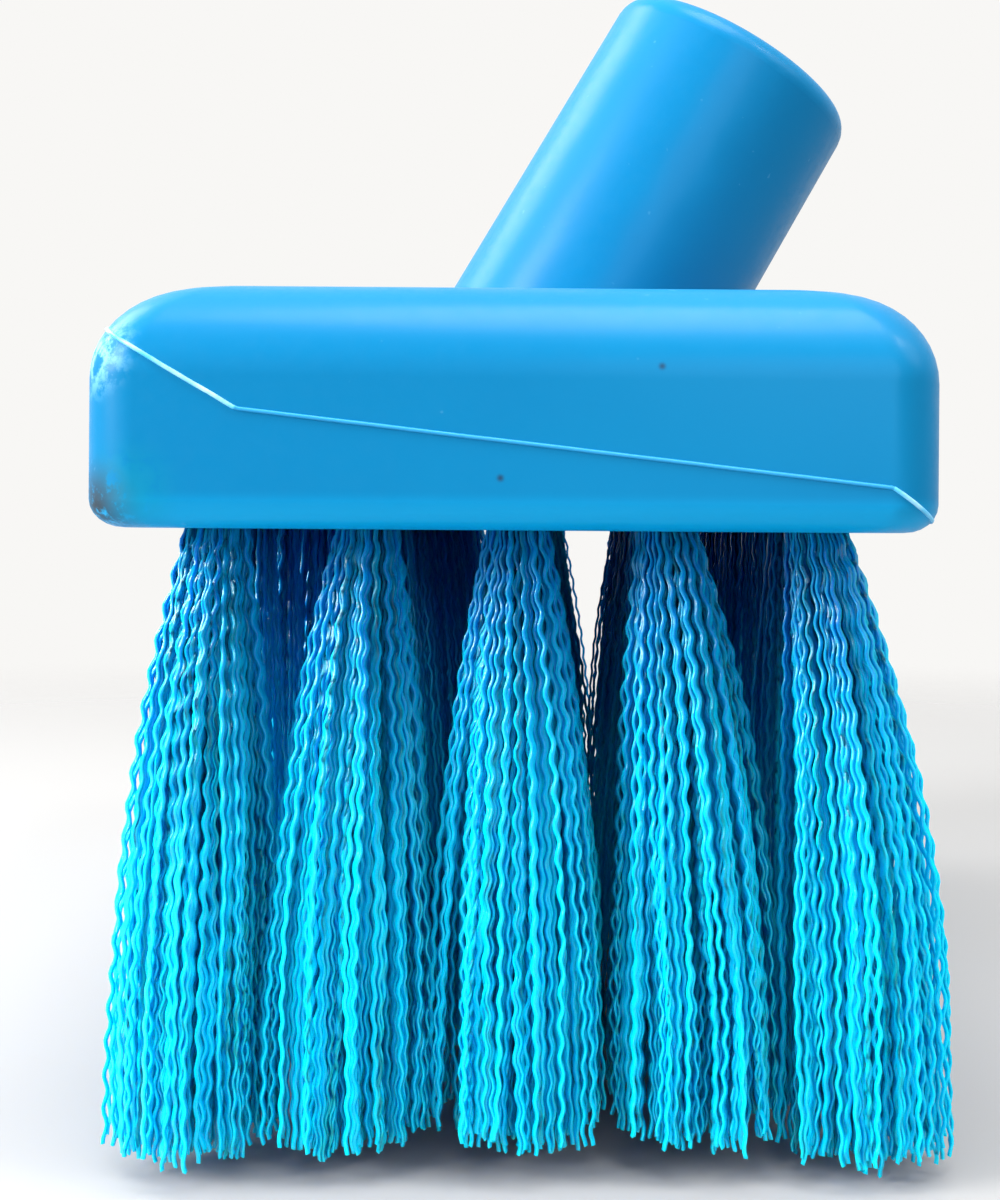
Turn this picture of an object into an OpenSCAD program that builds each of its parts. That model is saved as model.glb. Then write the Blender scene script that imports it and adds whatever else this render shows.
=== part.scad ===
// Pool wall brush: one moulded block with a leaning pole socket, and rows of stapled bristle tufts.
// Origin: centre of the bristle tips. X across the block, Y along it, Z up. Millimetres.

/* [Block] */
// Width of the block, across the brush
block_w = 75; // [70:1:90]
// Length of the block, along the brush
block_l = 160; // [156:1:200]
// Height of the block, from the bristle side to its top
block_h = 21.9; // [20:0.5:30]
// Radius round the top of the block
top_r = 8.8; // [6:0.1:9.5]
// Radius round the bottom of the block
bottom_r = 2.5; // [1:0.1:4]
// Radius up the corners of the block
corner_r = 5; // [3:0.1:8]

/* [Pole socket] */
// Outer diameter of the socket at its open end
socket_d = 33.6; // [32:0.2:36]
// Draft of the socket's outside, in degrees
socket_draft = 0.7; // [0:0.1:1]
// Length of the socket along its axis, above the block's top
socket_l = 46; // [40:0.5:60]
// Lean of the socket from upright, towards +X
socket_lean = 30; // [20:1:35]
// Where the socket's axis crosses the block's top, from the middle
socket_x = 3.5; // [0:0.1:5]
// Radius round the socket's rim
socket_rim_r = 3; // [1:0.5:3.5]
// Diameter of the pole that the socket takes
pole_d = 24; // [22:0.5:25]
// Gap between the pole and the bore, on the diameter
pole_gap = 0.3; // [0.1:0.05:0.8]
// Depth of the bore from the rim
pole_depth = 43.5; // [38:0.5:44.5]
// Lead-in cut round the mouth of the bore
pole_lead = 0.8; // [0.4:0.1:1]

/* [Tufts] */
// Tufts across the block
tuft_columns = 5; // [3:2:5]
// Tufts along the block
tuft_rows = 11; // [3:2:11]
// Distance from tuft to tuft at the block
tuft_pitch = 13.8; // [12:0.1:14]
// Length of the bristles below the block
bristle_l = 58; // [45:1:60]
// Diameter of a tuft where it leaves the block
tuft_d = 6.3; // [5:0.1:6.4]
// How much wider a tuft is just below its hole, on the diameter
tuft_flare = 0.7; // [0.5:0.1:1.2]
// Diameter of a tuft at its tips
tuft_tip_d = 13.8; // [8:0.1:14]
// Outward lean of the outermost columns, in degrees
column_splay = 3.5; // [3.3:0.1:5]
// Outward lean of the end rows, in degrees
row_splay = 3; // [2.8:0.1:4]

/* [Tuft holes and anchors] */
// Gap between a tuft and its hole, on the diameter
tuft_gap = 0.1; // [0.05:0.05:0.2]
// Depth of a tuft hole
hole_depth = 14; // [12:0.5:14.5]
// Length of an anchor, across the hole and into its wall
anchor_l = 7.4; // [7.2:0.1:8]
// Height of an anchor
anchor_h = 2.2; // [1.8:0.1:3]
// Thickness of an anchor
anchor_t = 0.4; // [0.3:0.05:0.6]
// Bristle folded over an anchor, above it
fold_h = 2.4; // [2:0.1:3]

/* [Hidden] */
$fn = 64;

// Gap round an anchor, in the block and in the tuft
anchor_gap = 0.05;
// How far a cut runs past the face that it opens
cut_past = 1;

block_top = bristle_l + block_h;
hole_d = tuft_d + tuft_gap;
anchor_z = bristle_l + hole_depth - fold_h - anchor_h / 2;

// Start of the socket's solid along its axis, low enough to be all inside the block
socket_root = -(socket_d / 2 + 1) * tan(socket_lean);
socket_root_r = socket_d / 2 + (socket_l - socket_root) * tan(socket_draft);
bore_d = pole_d + pole_gap;

middle_column = (tuft_columns + 1) / 2;
middle_row = (tuft_rows + 1) / 2;
columns = [1 : tuft_columns];
rows = [1 : tuft_rows];

function tuft_name(row, column) = str("tuft_r", row < 10 ? "0" : "", row, "_c", column);
function tuft_x(column) = (column - middle_column) * tuft_pitch;
function tuft_y(row) = (row - middle_row) * tuft_pitch;
function lean_x(column) = column_splay * (column - middle_column) / (middle_column - 1);
function lean_y(row) = row_splay * (row - middle_row) / (middle_row - 1);

// Height above the block's bottom, and how far the outline has drawn in there, from the bottom to the top
block_levels = concat(
    [for (a = [0 : 15 : 90]) [bottom_r * (1 - cos(a)), bottom_r * (1 - sin(a))]],
    [for (a = [0 : 7.5 : 90]) [block_h - top_r * (1 - sin(a)), top_r * (1 - cos(a))]]
);

// Points round the block at one level, with the same corner radius at every level
function block_ring(level) = [
    for (quarter = [0 : 3], a = [0 : 9 : 90])
        let (
            x = (quarter == 0 || quarter == 3 ? 1 : -1) * (block_w / 2 - level[1] - corner_r),
            y = (quarter < 2 ? 1 : -1) * (block_l / 2 - level[1] - corner_r),
            turn = 90 * quarter + a
        )
        [x + corner_r * cos(turn), y + corner_r * sin(turn), level[0]]
];

module block_body() {
    rings = [for (level = block_levels) block_ring(level)];
    n = len(rings[0]);
    last = len(rings) - 1;
    bottom = [for (i = [0 : n - 1]) i];
    sides = [
        for (k = [0 : last - 1], i = [0 : n - 1])
            let (j = (i + 1) % n)
            [k * n + i, (k + 1) * n + i, (k + 1) * n + j, k * n + j]
    ];
    top = [for (i = [n - 1 : -1 : 0]) last * n + i];
    polyhedron([for (ring = rings) each ring], concat([bottom], sides, [top]));
}

// Everything along the socket's axis is drawn upright and then leaned over
module lean_socket() {
    translate([socket_x, 0, block_top]) rotate([0, socket_lean, 0]) children();
}

module socket_body() {
    end_r = socket_d / 2;
    rotate_extrude()
        difference() {
            polygon([[0, socket_root], [socket_root_r, socket_root], [end_r, socket_l], [0, socket_l]]);
            difference() {
                translate([end_r - socket_rim_r, socket_l - socket_rim_r])
                    square(socket_rim_r + cut_past);
                translate([end_r - socket_rim_r, socket_l - socket_rim_r]) circle(socket_rim_r);
            }
        }
}

module pole_bore() {
    translate([0, 0, socket_l - pole_depth]) cylinder(h = pole_depth + cut_past, d = bore_d);
    translate([0, 0, socket_l - pole_lead])
        cylinder(h = pole_lead + cut_past, d1 = bore_d, d2 = bore_d + 2 * (pole_lead + cut_past));
}

module anchor(gap) {
    cube([anchor_l + 2 * gap, anchor_t + 2 * gap, anchor_h + 2 * gap], center = true);
}

module tuft_hole() {
    translate([0, 0, bristle_l - cut_past]) cylinder(h = hole_depth + cut_past, d = hole_d);
    translate([0, 0, anchor_z]) anchor(anchor_gap);
}

module brush_block() {
    color("deepskyblue")
        difference() {
            union() {
                translate([0, 0, bristle_l]) block_body();
                lean_socket() socket_body();
            }
            lean_socket() pole_bore();
            for (row = rows, column = columns)
                translate([tuft_x(column), tuft_y(row), 0]) tuft_hole();
        }
}

module staple_anchors() {
    color("lightgray")
        for (row = rows, column = columns)
            translate([tuft_x(column), tuft_y(row), anchor_z]) anchor(0);
}

// Bristles folded over their anchor: a stem in the hole, and below it a cone that spreads to the tips
module bristle_cone(row, column) {
    flared_d = tuft_d + tuft_flare;
    spread = (tuft_tip_d - flared_d) / bristle_l;
    cone_l = bristle_l + 3 * cut_past;
    cone_top_d = flared_d - spread * cut_past;
    intersection() {
        translate([0, 0, bristle_l])
            rotate([180 + lean_y(row), -lean_x(column), 0])
                translate([0, 0, -cut_past])
                    cylinder(h = cone_l, d1 = cone_top_d, d2 = cone_top_d + spread * cone_l);
        translate([0, 0, bristle_l / 2]) cube([tuft_tip_d * 3, tuft_tip_d * 3, bristle_l], center = true);
    }
}

module tuft(row, column) {
    color("dodgerblue")
        translate([tuft_x(column), tuft_y(row), 0]) {
            bristle_cone(row, column);
            difference() {
                translate([0, 0, bristle_l]) cylinder(h = hole_depth, d = tuft_d);
                translate([0, 0, anchor_z]) anchor(anchor_gap);
            }
        }
}

brush_block();
staple_anchors();
for (row = rows, column = columns)
    tuft(row, column);
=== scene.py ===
import math
import random

import bmesh
import bpy
from mathutils import Euler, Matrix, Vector


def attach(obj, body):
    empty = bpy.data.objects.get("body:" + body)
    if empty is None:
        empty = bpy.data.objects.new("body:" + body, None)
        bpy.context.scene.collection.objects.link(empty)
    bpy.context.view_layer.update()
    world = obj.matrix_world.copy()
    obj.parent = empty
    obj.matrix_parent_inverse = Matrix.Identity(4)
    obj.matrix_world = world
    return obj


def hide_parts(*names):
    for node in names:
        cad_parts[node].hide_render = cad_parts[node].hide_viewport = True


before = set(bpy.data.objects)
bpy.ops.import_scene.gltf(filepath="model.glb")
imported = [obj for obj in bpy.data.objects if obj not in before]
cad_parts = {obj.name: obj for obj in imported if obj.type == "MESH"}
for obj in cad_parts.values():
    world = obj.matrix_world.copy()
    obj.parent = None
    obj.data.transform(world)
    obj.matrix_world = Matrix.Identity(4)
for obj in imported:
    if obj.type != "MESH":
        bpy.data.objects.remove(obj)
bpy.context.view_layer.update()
mm = 0.001
print("frame loaded,", len(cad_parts), "nodes")


# node graphs written as Python expressions

def arithmetic(operation, flipped=False):
    def run(self, other):
        first, second = (other, self) if flipped else (self, other)
        return self.graph.math(operation, first, second)
    return run


class Wire:  # one output socket, on which + - * / ** and % add Math nodes
    def __init__(self, graph, socket):
        self.graph = graph
        self.socket = socket

    def __getitem__(self, name):  # another output of the same node
        return Wire(self.graph, self.socket.node.outputs[name])

    __add__ = arithmetic("ADD")
    __radd__ = arithmetic("ADD", True)
    __sub__ = arithmetic("SUBTRACT")
    __rsub__ = arithmetic("SUBTRACT", True)
    __mul__ = arithmetic("MULTIPLY")
    __rmul__ = arithmetic("MULTIPLY", True)
    __truediv__ = arithmetic("DIVIDE")
    __rtruediv__ = arithmetic("DIVIDE", True)
    __pow__ = arithmetic("POWER")
    __mod__ = arithmetic("FLOORED_MODULO")


class Graph:
    def __init__(self, tree):
        self.tree = tree

    def add(self, kind, settings=None, values=None, output=0):
        node = self.tree.nodes.new(kind)
        for name, value in (settings or {}).items():
            setattr(node, name, value)
        named = values.items() if isinstance(values, dict) else enumerate(values or [])
        for name, value in named:
            if isinstance(value, Wire):
                self.tree.links.new(value.socket, node.inputs[name])
            elif value is not None:
                node.inputs[name].default_value = value
        return Wire(self, node.outputs[output]) if len(node.outputs) else None

    def math(self, operation, *values):
        return self.add("ShaderNodeMath", {"operation": operation}, values)

    def vector(self, operation, *values):
        return self.add("ShaderNodeVectorMath", {"operation": operation}, values)

    def combine(self, x, y, z):
        return self.add("ShaderNodeCombineXYZ", None, [x, y, z])

    def clamp(self, value, low=0.0, high=1.0):
        return self.math("MINIMUM", self.math("MAXIMUM", value, low), high)

    def ramp(self, value, low, high):  # 0 below low, 1 above high, smooth between
        settings = {"interpolation_type": "SMOOTHSTEP"}
        return self.add("ShaderNodeMapRange", settings, [value, low, high, 0.0, 1.0])

    def mix(self, share, first, second):
        settings = {"data_type": "RGBA"}
        return self.add("ShaderNodeMix", settings, {0: share, 6: first, 7: second}, 2)

    def noise(self, place, scale, detail=2.0, roughness=0.5):
        values = {"Vector": place, "Scale": scale, "Detail": detail, "Roughness": roughness}
        return self.add("ShaderNodeTexNoise", None, values)


def rgb(red, green, blue):  # a screen colour, 0 to 255, as the shaders want it
    linear = []
    for channel in (red, green, blue):
        share = channel / 255
        linear.append(((share + 0.055) / 1.055) ** 2.4 if channel > 10 else share / 12.92)
    return (*linear, 1.0)


def newMaterial(name):
    material = bpy.data.materials.new(name)
    material.use_nodes = True
    shader = material.node_tree.nodes["Principled BSDF"]
    return material, Graph(material.node_tree), shader


def feed(graph, shader, values):
    for name, value in values.items():
        if isinstance(value, Wire):
            graph.tree.links.new(value.socket, shader.inputs[name])
        else:
            shader.inputs[name].default_value = value


# the moulded block

block = {
    "topRound": 8.8 * mm,
    "bottomRound": 2.5 * mm,
    "halfWidth": 37.5 * mm,
    "halfLength": 80 * mm,
    "bottom": 58 * mm,
    "height": 21.9 * mm,
    "cornerRound": 5 * mm,
    "socketAt": 3.5 * mm,  # where the socket's axis crosses the block's top
    "socketLean": math.radians(30),
    "socketRadius": 17.2 * mm,  # at the block's top
    "rootRound": 2.6 * mm,
    "rootSteps": 96,
    "rootBends": 8,
    "mergeWithin": 0.002 * mm,
    "sharpFrom": math.radians(28),  # edges that turn further than this stay sharp
    "colour": rgb(0, 108, 156),
    # edge: a paler blue painted on the bottom round, standing in for light bounced up from the
    # floor
    "edge": rgb(0, 164, 222),
    "paler": rgb(2, 120, 166),
    "chalky": rgb(150, 214, 240),
    "grime": rgb(50, 60, 68),
    "algae": rgb(0, 128, 150),
    "speck": rgb(30, 60, 90),
    "flowScale": 28.0,
    "grainScale": 2600.0,
    "wearScale": 700.0,
    "nickScale": 900.0,
    "waveScale": 60.0,
    "palerShare": 0.35,
    "edgeReach": 3.4 * mm,  # how far up the paler colour, painted on the bottom edge as bounce light from the floor, reaches
    "edgeShare": 0.85,
    "stains": [  # colour, centre and reach in mm, wear that it starts and ends at, share
        ("chalky", (-36.3, -78.0, 73.2), 5.0, (0.42, 0.62), 0.75),
        ("algae", (-33.0, -79.5, 61.2), 5.6, (0.28, 0.5), 0.45),
        ("grime", (-36.4, -78.7, 59.8), 5.2, (0.34, 0.5), 1.0),
    ],
    "specks": [(-26.4, -80.0, 76.8), (12.8, -80.0, 72.2), (-1.0, -80.0, 62.5)],
    "speckSize": 0.5,
    "nickShare": 0.08,
    "roughness": 0.4,
    "bump": 0.5,
    "bumpDepth": 0.12 * mm,
    "specular": 0.08,
    "coat": 0.12,
    "coatRoughness": 0.24,
}


def spot(graph, place, centre, size):  # 1 at the centre, falling to 0 at a distance of size
    away = graph.vector("SUBTRACT", place, tuple(c * mm for c in centre))
    far = graph.add("ShaderNodeVectorMath", {"operation": "LENGTH"}, [away], "Value")
    return 1.0 - graph.ramp(far, 0.0, size * mm)


def blockPlastic():
    material, g, shader = newMaterial("blockPlastic")
    place = g.add("ShaderNodeTexCoord", None, None, "Object")
    flow = g.noise(place, block["flowScale"], 3.0)
    grain = g.noise(place, block["grainScale"], 2.0)
    wear = g.noise(place, block["wearScale"], 4.0, 0.7)
    colour = g.mix(g.ramp(flow, 0.35, 0.75) * block["palerShare"], block["colour"], block["paler"])

    up = g.add("ShaderNodeSeparateXYZ", None, [place])["Z"]
    # painted bounce light: the bottom edge is mixed towards a paler blue, as if lit from the floor
    # below
    thin = 1.0 - g.ramp(up, block["bottom"], block["bottom"] + block["edgeReach"])
    colour = g.mix(thin * block["edgeShare"], colour, block["edge"])

    stains = {}
    for tint, centre, reach, (starts, ends), share in block["stains"]:
        stains[tint] = spot(g, place, centre, reach) * g.ramp(wear, starts, ends)
        colour = g.mix(stains[tint] * share, colour, block[tint])
    for centre in block["specks"]:
        colour = g.mix(spot(g, place, centre, block["speckSize"]), colour, block["speck"])
    nicks = g.ramp(g.noise(place, block["nickScale"], 1.0), 0.76, 0.82)
    colour = g.mix(nicks * block["nickShare"], colour, block["chalky"])

    scuff, grime = stains["chalky"], stains["grime"]
    dull = g.clamp(g.ramp(wear, 0.35, 0.75) * 0.12 + scuff * 0.3 + grime * 0.4)
    waviness = g.noise(place, block["waveScale"], 2.0)
    height = waviness * 0.9 + grain * 0.06 + scuff * wear * 0.25
    relief = {"Strength": block["bump"], "Distance": block["bumpDepth"], "Height": height}
    bump = g.add("ShaderNodeBump", None, relief)
    feed(g, shader, {
        "Base Color": colour,
        "Roughness": dull + block["roughness"],
        "Normal": bump,
        "Specular IOR Level": block["specular"],
        "Coat Weight": block["coat"],
        "Coat Roughness": block["coatRoughness"],
    })
    return material


def smoothNormals(mesh, name):  # merges a CAD mesh and shades its rounds smoothly into its flats
    form = bmesh.new()
    form.from_mesh(mesh)
    bmesh.ops.remove_doubles(form, verts=form.verts, dist=block["mergeWithin"])
    for face in form.faces:
        face.smooth = True
    for edge in form.edges:
        shared = len(edge.link_faces) == 2
        edge.smooth = shared and edge.calc_face_angle() < block["sharpFrom"]
    merged = bpy.data.meshes.new(name)
    form.to_mesh(merged)
    form.free()
    piece = bpy.data.objects.new(name, merged)
    bpy.context.scene.collection.objects.link(piece)
    weigh = piece.modifiers.new("weigh", "WEIGHTED_NORMAL")
    weigh.keep_sharp = True
    weigh.weight = 100
    return piece


def bake(piece):  # the modifiers' result as a plain mesh
    evaluated = piece.evaluated_get(bpy.context.evaluated_depsgraph_get())
    mesh = bpy.data.meshes.new_from_object(evaluated)
    piece.modifiers.clear()
    piece.data = mesh
    return piece


def rootFillet():  # the blend between the leaning socket and the block's top
    lean, radius, round_ = block["socketLean"], block["socketRadius"], block["rootRound"]
    axis = Vector((math.sin(lean), 0, math.cos(lean)))
    across = Vector((math.cos(lean), 0, -math.sin(lean)))
    start = Vector((block["socketAt"], 0, block["bottom"] + block["height"]))
    steps, bends = block["rootSteps"], block["rootBends"]
    form = bmesh.new()
    rings = []
    for i in range(steps):
        turn = 2 * math.pi * i / steps
        outward = across * math.cos(turn) + Vector((0, 1, 0)) * math.sin(turn)
        foot = start + outward * radius
        foot -= axis * ((foot.z - start.z) / axis.z)
        along = axis.cross(outward)
        along -= axis * (along.z / axis.z)  # the way the seam runs, level with the top
        along.normalize()
        up = (axis - along * axis.dot(along)).normalized()
        away = Vector((along.y, -along.x, 0))
        if away.dot(outward) < 0:
            away = -away
        half = up.angle(away) / 2
        middle = (up + away).normalized()
        centre = foot + middle * (round_ / math.sin(half))
        reach = round_ / math.tan(half)
        first = (foot + up * reach - centre).normalized()
        last = (foot + away * reach - centre).normalized()
        ring = []
        for k in range(bends + 1):
            at = centre + first.slerp(last, k / bends) * round_
            ring.append(form.verts.new(at - middle * 0.01 * mm))
        ring.append(form.verts.new(foot - middle * 0.6 * mm))
        rings.append(ring)
    for one, two in zip(rings, rings[1:] + rings[:1]):
        for k in range(len(one)):
            j = (k + 1) % len(one)
            face = form.faces.new((one[k], one[j], two[j], two[k]))
            face.smooth = k < bends
    bmesh.ops.recalc_face_normals(form, faces=form.faces)
    mesh = bpy.data.meshes.new("socket_root")
    form.to_mesh(mesh)
    form.free()
    piece = bpy.data.objects.new("socket_root", mesh)
    bpy.context.scene.collection.objects.link(piece)
    return piece


plastic = blockPlastic()
brushBlock = bake(smoothNormals(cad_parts["brush_block"].data, "block_moulding"))
brushBlock.data.materials.clear()
brushBlock.data.materials.append(plastic)
socketRoot = rootFillet()
socketRoot.data.materials.append(plastic)
print("block moulded")


# the parting line, a thin raised flash round the block

flash = {
    # x, and height above the block's bottom, in mm
    "turns": [(-36.0, 17.5), (-23.8, 10.3), (32.7, 3.9), (37.0, 0.9)],
    "step": 0.5 * mm,
    "radius": 0.2 * mm,
    "sides": 6,
    "wander": 0.16 * mm,
    "steepWidth": 1.0,
    "sideWidth": 0.5,
    "middleWidth": 0.18,
    "faint": rgb(4, 138, 196),
    "colour": rgb(70, 180, 228),
    "white": rgb(170, 222, 243),
}


def flashHeight(x):
    turns = flash["turns"]
    x = min(max(x / mm, turns[0][0]), turns[-1][0])
    for (x0, z0), (x1, z1) in zip(turns, turns[1:]):
        if x <= x1:
            return (z0 + (z1 - z0) * (x - x0) / (x1 - x0)) * mm
    return turns[-1][1] * mm


def inset(height):  # how far the block's side has drawn in at a height above its bottom
    low, high = block["bottomRound"], block["height"] - block["topRound"]
    if height < low:
        return low - math.sqrt(max(low ** 2 - (low - height) ** 2, 0))
    if height > high:
        return block["topRound"] - math.sqrt(max(block["topRound"] ** 2 - (height - high) ** 2, 0))
    return 0.0


def outline():  # places and outward directions round the block, seen from above
    corner = block["cornerRound"]
    along = block["halfLength"] - corner
    across = block["halfWidth"] - corner
    places = []
    for cornerX, cornerY, start in [(1, 1, 0), (-1, 1, 90), (-1, -1, 180), (1, -1, 270)]:
        for k in range(25):
            turn = math.radians(start + 90 * k / 24)
            outward = Vector((math.cos(turn), math.sin(turn), 0))
            middle = Vector((cornerX * across, cornerY * along, 0))
            places.append((middle + outward * corner, outward))
    dense = []
    for (p, n), (q, m) in zip(places, places[1:] + places[:1]):
        pieces = max(1, round((q - p).length / flash["step"]))
        for k in range(pieces):
            share = k / pieces
            dense.append((p.lerp(q, share), n.lerp(m, share).normalized()))
    return dense


def drawnIn(place, inset):  # the corners keep their radius at every height
    corner = block["cornerRound"]
    shareX = place.x / (block["halfWidth"] - corner)
    shareY = place.y / (block["halfLength"] - corner)
    return place - Vector((min(max(shareX, -1), 1), min(max(shareY, -1), 1), 0)) * inset


def flashPath():
    points, widths = [], []
    for place, outward in outline():
        at = place
        for _ in range(4):  # the height sets the inset and the inset sets x, so settle both
            height = flashHeight(at.x)
            at = drawnIn(place, inset(height))
        points.append(Vector((at.x, at.y, block["bottom"] + height)))
        steep = abs(flashHeight(at.x + 0.5 * mm) - flashHeight(at.x - 0.5 * mm)) > 0.3 * mm
        onSide = abs(outward.x) > 0.95
        level = flash["sideWidth"] if onSide else flash["middleWidth"]
        widths.append(flash["steepWidth"] if steep else level)
    return points, widths


def flashPlastic():
    material, g, shader = newMaterial("flashPlastic")
    place = g.add("ShaderNodeTexCoord", None, None, "Object")
    thin = g.noise(place, 380.0, 3.0)
    steep = g.add("ShaderNodeAttribute", {"attribute_name": "width"}, None, "Fac")
    patchy = g.noise(place, 170.0, 2.0)
    whiteness = g.ramp(thin, 0.35, 0.65) * g.ramp(patchy, 0.36, 0.6) * g.ramp(steep, 0.6, 1.0)
    middle = g.mix(g.ramp(steep, 0.55, 0.9), flash["faint"], flash["colour"])
    feed(g, shader, {
        "Base Color": g.mix(whiteness, middle, flash["white"]),
        "Roughness": g.ramp(thin, 0.2, 0.8) * 0.2 + 0.35,
    })
    return material


def flashTree(material):
    tree = bpy.data.node_groups.new("flashBead", "GeometryNodeTree")
    for name, kind, inOut in [
        ("Geometry", "NodeSocketGeometry", "INPUT"), ("Radius", "NodeSocketFloat", "INPUT"),
        ("Sides", "NodeSocketInt", "INPUT"), ("Wander", "NodeSocketFloat", "INPUT"),
        ("Geometry", "NodeSocketGeometry", "OUTPUT"),
    ]:
        tree.interface.new_socket(name, in_out=inOut, socket_type=kind)
    g = Graph(tree)
    given = g.add("NodeGroupInput")
    place = g.add("GeometryNodeInputPosition")
    width = g.add("GeometryNodeInputNamedAttribute", {"data_type": "FLOAT"}, {"Name": "width"})
    rough = g.noise(place, 330.0, 3.0)
    shift = (g.noise(place, 140.0, 2.0) - 0.5) * given["Wander"] * width * 2.0
    path = g.add("GeometryNodeMeshToCurve", None, [given["Geometry"]])
    offset = g.combine(0.0, 0.0, shift)
    path = g.add("GeometryNodeSetPosition", None, {"Geometry": path, "Offset": offset})
    thickness = width * (rough ** 2.0 * 3.6 + 0.12)
    path = g.add("GeometryNodeSetCurveRadius", None, {"Curve": path, "Radius": thickness})
    circle = g.add("GeometryNodeCurvePrimitiveCircle", None,
                   {"Resolution": given["Sides"], "Radius": given["Radius"]})
    bead = g.add("GeometryNodeCurveToMesh", None, {"Curve": path, "Profile Curve": circle})
    bead = g.add("GeometryNodeRealizeInstances", None, [bead])
    bead = g.add("GeometryNodeSetMaterial", None, {"Geometry": bead, "Material": material})
    g.add("NodeGroupOutput", None, [bead])
    return tree


def setInput(piece, modifier, name, value):
    for item in modifier.node_group.interface.items_tree:
        if item.item_type == "SOCKET" and item.in_out == "INPUT" and item.name == name:
            modifier[item.identifier] = value


def grow(name, mesh, tree, inputs):  # a node tree's result on a mesh, as a plain piece
    piece = bpy.data.objects.new(name, mesh)
    bpy.context.scene.collection.objects.link(piece)
    modifier = piece.modifiers.new("grow", "NODES")
    modifier.node_group = tree
    for key, value in inputs.items():
        setInput(piece, modifier, key, value)
    return bake(piece)


def partingLine():
    points, widths = flashPath()
    mesh = bpy.data.meshes.new("parting_path")
    count = len(points)
    mesh.from_pydata(points, [(i, (i + 1) % count) for i in range(count)], [])
    mesh.attributes.new("width", "FLOAT", "POINT").data.foreach_set("value", widths)
    tree = flashTree(flashPlastic())
    inputs = {"Radius": flash["radius"], "Sides": flash["sides"], "Wander": flash["wander"]}
    return grow("parting_line", mesh, tree, inputs)


partingFlash = partingLine()
print("parting line laid,", len(partingFlash.data.polygons), "faces")


# the tufts of crimped filament

tufts = {
    "rootRadius": 2.8 * mm,
    "tipRadius": 7.3 * mm,
    "inside": 10.5 * mm,  # how far up the hole the fold is
    "crimp": 0.205 * mm,
    "crimpLength": 3.15 * mm,
    "filamentRadius": 0.245 * mm,
    "clumpSize": 3.0 * mm,
    "clumping": 0.34,
    "wander": 1.5 * mm,
    "seed": 7,
    "pitch": 13.8 * mm,
    "frontLean": [-1.5, -1.0, 0.8, 3.1, 4.5],  # of the first row's tips, along X
    "frontLift": [0.8, 1.5, 2.0, 2.3, 0.5],  # how far its tips stay off the floor
    "lift": [0.2, 0.6, 0.9, 0.6, 0.2],  # the other rows, worn shorter towards the middle
    "outerLift": 1.2 * mm,
    # the nylon's cyan in painted shade at the root, under the block, and in painted floor bounce
    # light at the tips
    "rootColour": rgb(0, 106, 200),
    "tipColour": rgb(0, 188, 255),
    "palest": rgb(0, 206, 255),
}

tuftSockets = [
    ("Filaments", "NodeSocketInt"), ("Rings", "NodeSocketInt"), ("Sides", "NodeSocketInt"),
    ("Root", "NodeSocketVector"), ("Lean", "NodeSocketVector"),
    ("Length", "NodeSocketFloat"), ("Inside", "NodeSocketFloat"), ("Lift", "NodeSocketFloat"),
    ("Root Radius", "NodeSocketFloat"), ("Tip Radius", "NodeSocketFloat"),
    ("Crimp", "NodeSocketFloat"), ("Crimp Length", "NodeSocketFloat"),
    ("Filament Radius", "NodeSocketFloat"), ("Clump Size", "NodeSocketFloat"),
    ("Clumping", "NodeSocketFloat"), ("Wander", "NodeSocketFloat"),
    ("Strays", "NodeSocketFloat"), ("Wave Turn", "NodeSocketFloat"), ("Seed", "NodeSocketInt"),
]


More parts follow.
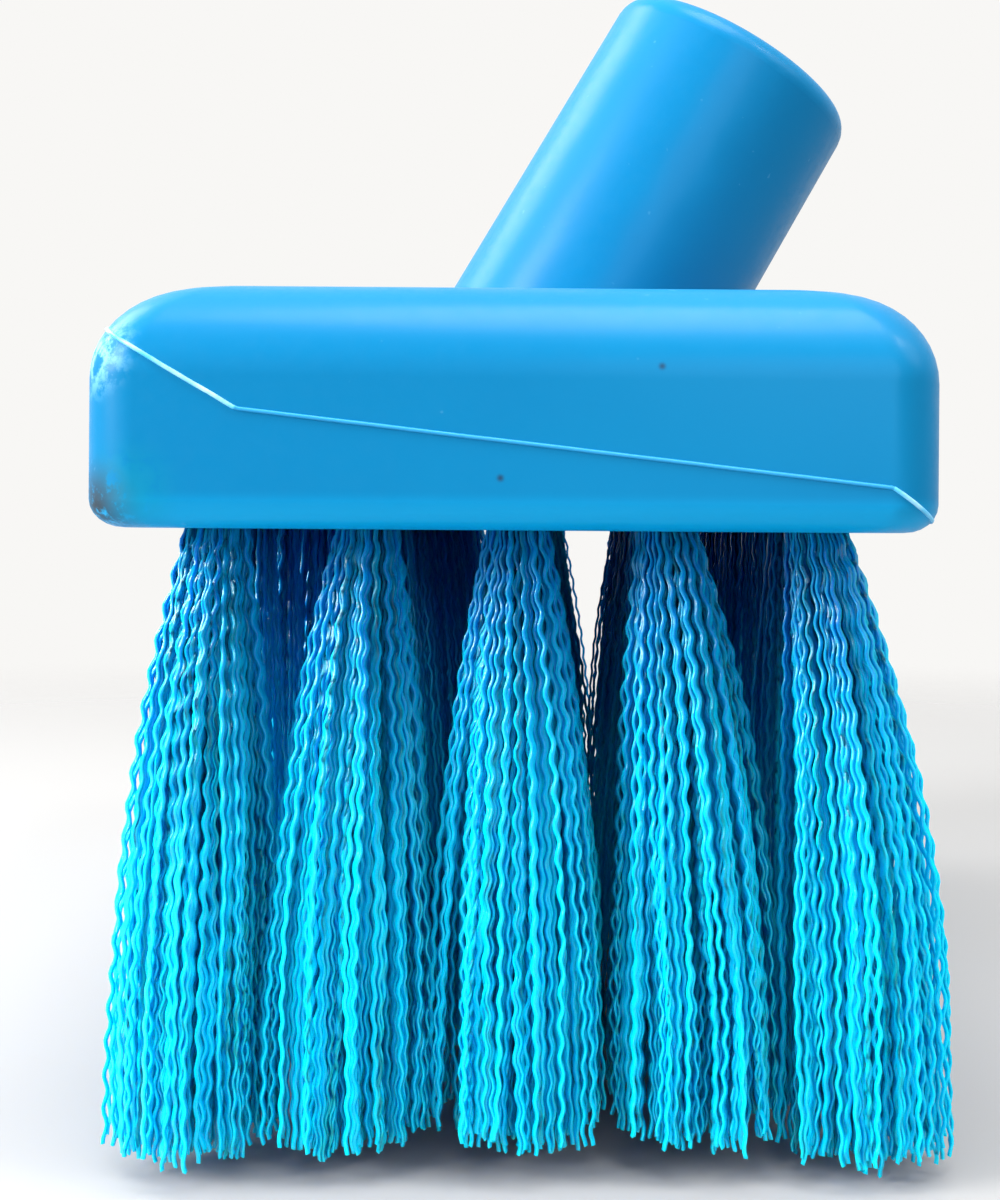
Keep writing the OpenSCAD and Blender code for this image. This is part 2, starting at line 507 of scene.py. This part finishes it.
def tuftTree(material):
    tree = bpy.data.node_groups.new("crimpedTuft", "GeometryNodeTree")
    tree.interface.new_socket("Geometry", in_out="INPUT", socket_type="NodeSocketGeometry")
    for name, kind in tuftSockets:
        tree.interface.new_socket(name, in_out="INPUT", socket_type=kind)
    tree.interface.new_socket("Geometry", in_out="OUTPUT", socket_type="NodeSocketGeometry")
    g = Graph(tree)
    given = g.add("NodeGroupInput")
    rings, count, length = given["Rings"], given["Filaments"], given["Length"]
    index = g.add("GeometryNodeInputIndex")
    goldenTurn, fullTurn = 2.39996, 6.2832
    strand = g.math("FLOOR", (index + 0.5) / rings)
    step = index - strand * rings
    drop = g.math("MAXIMUM", step - 1.0, 0.0) / (rings - 2.0)  # 0 at the block, 1 at the tip
    inHole = g.math("LESS_THAN", step, 0.5)

    def chance(key, low=0.0, high=1.0):  # one random number for each filament
        values = {2: low, 3: high, "ID": strand, "Seed": given["Seed"] + float(key)}
        return g.add("FunctionNodeRandomValue", {"data_type": "FLOAT"}, values, 1)

    # root and tip of each filament, seen from above
    share = g.math("SQRT", (strand + 0.5) / count)
    turn = strand * goldenTurn + chance(1, -0.25, 0.25)
    outX, outY = g.math("COSINE", turn), g.math("SINE", turn)
    rootX, rootY = outX * share * given["Root Radius"], outY * share * given["Root Radius"]
    reach = given["Tip Radius"] * (share + chance(2, -0.16, 0.16))
    lean = g.add("ShaderNodeSeparateXYZ", None, [given["Lean"]])
    root = g.add("ShaderNodeSeparateXYZ", None, [given["Root"]])
    tipX = outX * reach + lean["X"] + root["X"]
    tipY = outY * reach + lean["Y"] + root["Y"]

    # neighbouring tips gather into locks
    cells = g.add("ShaderNodeTexVoronoi", {"voronoi_dimensions": "2D"},
                  {"Vector": g.combine(tipX, tipY, 0.0), "Scale": 1.0 / given["Clump Size"]},
                  "Position")
    lock = g.add("ShaderNodeSeparateXYZ", None, [cells])
    lockTone = g.add("ShaderNodeTexWhiteNoise", {"noise_dimensions": "2D"}, {"Vector": cells})
    tone = g.add("ShaderNodeSeparateXYZ", None, [lockTone["Color"]])
    gather = given["Clumping"] * drop ** 1.5 * chance(3, 0.5, 1.0)
    tipX = tipX + (lock["X"] - tipX) * gather
    tipY = tipY + (lock["Y"] - tipY) * gather

    # spread quickly below the block and then hang straighter
    ease = 1.0 - (1.0 - g.math("MINIMUM", drop / 0.88, 1.0)) ** 1.9
    x = (root["X"] + rootX) * (1.0 - ease) + tipX * ease
    y = (root["Y"] + rootY) * (1.0 - ease) + tipY * ease

    # slow bends shared by a lock, and a few filaments that stand off
    bendAt = g.combine(lock["X"], lock["Y"], drop * 1.6 + tone["Z"] * 20.0)
    bend = g.add("ShaderNodeSeparateXYZ", None, [g.noise(bendAt, 1.0, 1.0)["Color"]])
    ownAt = g.combine(strand * 3.7, given["Seed"], drop * 2.2)
    own = g.add("ShaderNodeSeparateXYZ", None, [g.noise(ownAt, 1.0, 1.0)["Color"]])
    swing = given["Wander"] * drop
    standsOff = g.math("LESS_THAN", chance(4), given["Strays"])
    stray = standsOff * drop ** 2.0 * chance(5, 0.3, 1.1) * given["Wander"]
    x = x + (bend["X"] - 0.5) * swing * 2.0 + (own["X"] - 0.5) * swing * 1.6 + outX * stray
    y = y + (bend["Y"] - 0.5) * swing * 2.0 + (own["Y"] - 0.5) * swing * 1.6 + outY * stray

    # the crimp is a flat wave, and neighbours often run in step
    waveLength = given["Crimp Length"] * (tone["Z"] * 0.07 + 0.965) * chance(6, 0.992, 1.008)
    wave = drop * length / waveLength
    wave = wave + tone["X"] + chance(7, -0.1, 0.1)
    plane = given["Wave Turn"] + (tone["Y"] - 0.5) * 1.8 + chance(8, -0.35, 0.35)
    swell = given["Crimp"] * g.ramp(drop, 0.0, 0.03) * (1.05 - drop * 0.25) * chance(9, 0.75, 1.15)
    offset = g.math("SINE", wave * fullTurn) * swell
    turned = g.math("COSINE", wave * fullTurn) * swell * 0.35
    planeX, planeY = g.math("COSINE", plane), g.math("SINE", plane)
    x = x + offset * planeX - turned * planeY
    y = y + offset * planeY + turned * planeX

    outer = share ** 2.0 * tufts["outerLift"]
    short = given["Lift"] + outer + chance(10, 0.0, 1.2 * mm) + tone["Z"] * 1.0 * mm
    z = root["Z"] - drop * (length - short) + inHole * given["Inside"]

    points = g.add("GeometryNodePoints", None,
                   {"Count": rings * count, "Position": g.combine(x, y, z)})
    strands = g.add("GeometryNodePointsToCurves", None,
                    {"Points": points, "Curve Group ID": strand})
    strands = g.add("GeometryNodeSetCurveRadius", None,
                    {"Curve": strands, "Radius": chance(11, 0.9, 1.08)})
    strands = g.add("GeometryNodeStoreNamedAttribute", {"data_type": "FLOAT", "domain": "POINT"},
                    {"Geometry": strands, "Name": "strand", "Value": chance(12)})
    strands = g.add("GeometryNodeCaptureAttribute", {}, [strands])
    captured = strands.socket.node
    captured.capture_items.new("FLOAT", "lane")
    captured.capture_items.new("FLOAT", "down")
    tree.links.new(((strand + 0.5) / count).socket, captured.inputs["lane"])
    tree.links.new(drop.socket, captured.inputs["down"])
    profile = g.add("GeometryNodeCurvePrimitiveCircle", None,
                    {"Resolution": given["Sides"], "Radius": given["Filament Radius"]})
    profile = g.add("GeometryNodeCaptureAttribute", {}, [profile])
    around = profile.socket.node
    around.capture_items.new("FLOAT", "side")
    tree.links.new(index.socket, around.inputs["side"])
    solid = g.add("GeometryNodeCurveToMesh", None,
                  {"Curve": strands, "Profile Curve": profile, "Fill Caps": True})
    fold = 1.0 - g.math("ABSOLUTE", profile["side"] - 2.0) / 2.0
    u = strands["lane"] + (fold - 0.5) * 0.8 / count
    place = g.combine(u, strands["down"] * 0.98 + 0.01, 0.0)
    solid = g.add("GeometryNodeStoreNamedAttribute", {"data_type": "FLOAT2", "domain": "CORNER"},
                  {"Geometry": solid, "Name": "OFBake", "Value": place})
    solid = g.add("GeometryNodeSetShadeSmooth", None, {"Geometry": solid})
    solid = g.add("GeometryNodeRealizeInstances", None, [solid])
    solid = g.add("GeometryNodeSetMaterial", None, {"Geometry": solid, "Material": material})
    g.add("NodeGroupOutput", None, [solid])
    return tree


def filamentNylon():
    material, g, shader = newMaterial("filamentNylon")
    place = g.add("ShaderNodeTexCoord", None, None, "Object")
    strand = g.add("ShaderNodeAttribute", {"attribute_name": "strand"}, None, "Fac")
    height = g.add("ShaderNodeSeparateXYZ", None, [place])["Z"]
    # painted shade and light: darker towards the root where the block shades it, lighter towards
    # the tips where the floor lights it
    down = 1.0 - g.ramp(height, 15 * mm, block["bottom"])
    colour = g.mix(down, tufts["rootColour"], tufts["tipColour"])
    colour = g.mix(strand * 0.2, colour, tufts["palest"])
    feed(g, shader, {
        "Base Color": colour,
        "Roughness": strand * 0.12 + 0.2,
        "Specular IOR Level": 0.12,
        "Coat Weight": 0.4,
        "Coat Roughness": 0.1,
        "Subsurface Weight": 0.8,
        "Subsurface Scale": 0.002,
        "Subsurface Radius": (0.1, 0.6, 1.0),
    })
    return material


def detailOf(row, column, rows, columns):  # filaments, rings, sides; finest where seen most
    if row == 1:
        return 200, 104, 3
    if row == rows or column in (1, columns):
        return 76, 70, 3
    return 52, 52, 3


def makeTufts():
    names = sorted(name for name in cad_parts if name.startswith("tuft_"))
    rows = max(int(name[6:8]) for name in names)
    columns = max(int(name[-1]) for name in names)
    tree = tuftTree(filamentNylon())
    draw = random.Random(tufts["seed"])
    made = {}
    for name in names:
        row, column = int(name[6:8]), int(name[-1])
        sideX = (column - (columns + 1) / 2) / ((columns - 1) / 2)
        sideY = (row - (rows + 1) / 2) / ((rows - 1) / 2)
        pitch = tufts["pitch"]
        rootX, rootY = sideX * (columns - 1) / 2 * pitch, sideY * (rows - 1) / 2 * pitch
        root = Vector((rootX, rootY, block["bottom"]))
        lean = Vector((sideX * 2.8 + draw.gauss(0, 0.45), sideY * 3.0 + draw.gauss(0, 0.6), 0)) * mm
        lift = tufts["lift"][column - 1] * mm
        if row == 1:
            lean = Vector((tufts["frontLean"][column - 1], -1.2, 0)) * mm
            lift = tufts["frontLift"][column - 1] * mm
        filaments, rings, sides = detailOf(row, column, rows, columns)
        edge = row in (1, rows) or column in (1, columns)
        inputs = {
            "Filaments": filaments, "Rings": rings, "Sides": sides, "Root": root, "Lean": lean,
            "Length": block["bottom"], "Inside": tufts["inside"], "Lift": lift,
            "Root Radius": tufts["rootRadius"], "Tip Radius": tufts["tipRadius"],
            "Crimp": tufts["crimp"], "Crimp Length": tufts["crimpLength"],
            "Filament Radius": tufts["filamentRadius"], "Clump Size": tufts["clumpSize"],
            "Clumping": tufts["clumping"], "Wander": tufts["wander"],
            "Strays": 0.06 if edge else 0.0, "Seed": draw.randrange(10000),
            "Wave Turn": math.pi / 2 if column in (1, columns) and row not in (1, rows) else 0.0,
        }
        made[name] = grow(name + "_bristles", bpy.data.meshes.new(name), tree, inputs)
    return made


bristles = makeTufts()
print("tufts grown,", sum(len(piece.data.polygons) for piece in bristles.values()), "faces")


# the anchors, seen only when a tuft is pulled

def anchorSteel():
    material, g, shader = newMaterial("anchorSteel")
    place = g.add("ShaderNodeTexCoord", None, None, "Object")
    drawn = g.noise(g.vector("MULTIPLY", place, (400.0, 4000.0, 4000.0)), 1.0, 3.0)
    feed(g, shader, {
        "Base Color": g.mix(drawn, rgb(150, 150, 148), rgb(205, 205, 200)),
        "Roughness": drawn * 0.2 + 0.22,
        "Metallic": 1.0,
    })
    return material


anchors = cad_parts["staple_anchors"]
anchors.data.materials.clear()
anchors.data.materials.append(anchorSteel())
anchors.material_slots[0].material = anchors.data.materials[0]


# floor, light and camera

studio = {
    "floorRadius": 1.6,
    "floorColour": (0.335, 0.33, 0.325, 1.0),
    "background": rgb(248, 247, 245),
    "skyColour": (0.98, 0.99, 1.0, 1.0),
    "skyBehind": 1.1,
    "skyFront": 0.1,
    "skyEven": 0.6,
    "lights": [  # name, place, size and power; every lamp aims at the shared aim point
        ("key", (-0.64, -0.36, 0.38), 0.42, 12.0),
        ("rim", (-0.50, 0.25, 0.55), 0.35, 3.4),
        ("right", (0.52, -0.22, 0.50), 0.40, 1.2),
        ("glint", (0.42, -0.255, 0.63), 0.13, 0.9),
        ("top", (0.05, -0.17, 0.80), 0.50, 7.5),
        ("front", (0.20, -0.76, 0.30), 0.40, 1.2),
    ],
    "aim": (0.0, 0.0, 0.05),
    "camera": (5.93 * mm, -225 * mm, 59.2 * mm),
    "roll": math.radians(-0.43),
    "lens": 50.8,
    "shift": (-0.0675, -0.069),
}


def makeFloor():
    form = bmesh.new()
    bmesh.ops.create_circle(form, cap_ends=True, segments=96, radius=studio["floorRadius"])
    mesh = bpy.data.meshes.new("floor")
    form.to_mesh(mesh)
    form.free()
    floor = bpy.data.objects.new("floor", mesh)
    bpy.context.scene.collection.objects.link(floor)
    material, g, shader = newMaterial("paleFloor")
    place = g.add("ShaderNodeTexCoord", None, None, "Object")
    far = g.add("ShaderNodeVectorMath", {"operation": "LENGTH"}, [place], "Value")
    feed(g, shader, {
        "Base Color": studio["floorColour"],
        "Roughness": 0.6,
        "Alpha": 1.0 - g.ramp(far, 0.16, 0.5),
    })
    mesh.materials.append(material)


def makeLights():
    for name, place, size, power in studio["lights"]:
        lamp = bpy.data.lights.new(name, "AREA")
        lamp.shape = "DISK"
        lamp.size = size
        lamp.energy = power
        holder = bpy.data.objects.new(name, lamp)
        holder.location = place
        facing = Vector(studio["aim"]) - Vector(place)
        holder.rotation_euler = facing.to_track_quat("-Z", "Y").to_euler()
        bpy.context.scene.collection.objects.link(holder)


def makeWorld():
    world = bpy.data.worlds.new("studio")
    world.use_nodes = True
    bpy.context.scene.world = world
    g = Graph(world.node_tree)
    world.node_tree.nodes.clear()
    direction = g.add("ShaderNodeTexCoord", None, None, "Generated")
    way = g.add("ShaderNodeSeparateXYZ", None, [direction])
    behind = g.ramp(way["Y"] + way["Z"] * 0.4, -0.5, 0.8)
    strength = behind * (studio["skyBehind"] - studio["skyFront"]) + studio["skyFront"]
    ray = g.add("ShaderNodeLightPath")
    strength = studio["skyEven"] + (strength - studio["skyEven"]) * ray["Is Glossy Ray"]
    glow = g.add("ShaderNodeBackground", None, {"Color": studio["skyColour"], "Strength": strength})
    plain = g.add("ShaderNodeBackground", None, {"Color": studio["background"], "Strength": 1.0})
    both = g.add("ShaderNodeMixShader", None, [ray["Is Camera Ray"], glow, plain])
    g.add("ShaderNodeOutputWorld", None, [both])


def makeCamera():
    camera = bpy.data.cameras.new("camera")
    camera.lens = studio["lens"]
    camera.sensor_width = 36
    camera.shift_x, camera.shift_y = studio["shift"]
    camera.clip_start = 0.01
    holder = bpy.data.objects.new("camera", camera)
    holder.location = studio["camera"]
    holder.rotation_euler = Euler((math.pi / 2, studio["roll"], 0))
    bpy.context.scene.collection.objects.link(holder)
    bpy.context.scene.camera = holder


makeFloor()
makeLights()
makeWorld()
makeCamera()
bpy.context.scene.view_settings.view_transform = "Standard"
print("studio set")


# what rides on what

for piece in [brushBlock, socketRoot, partingFlash, *bristles.values()]:
    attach(piece, "root")
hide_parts("brush_block")
for name, piece in bristles.items():
    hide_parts(name)
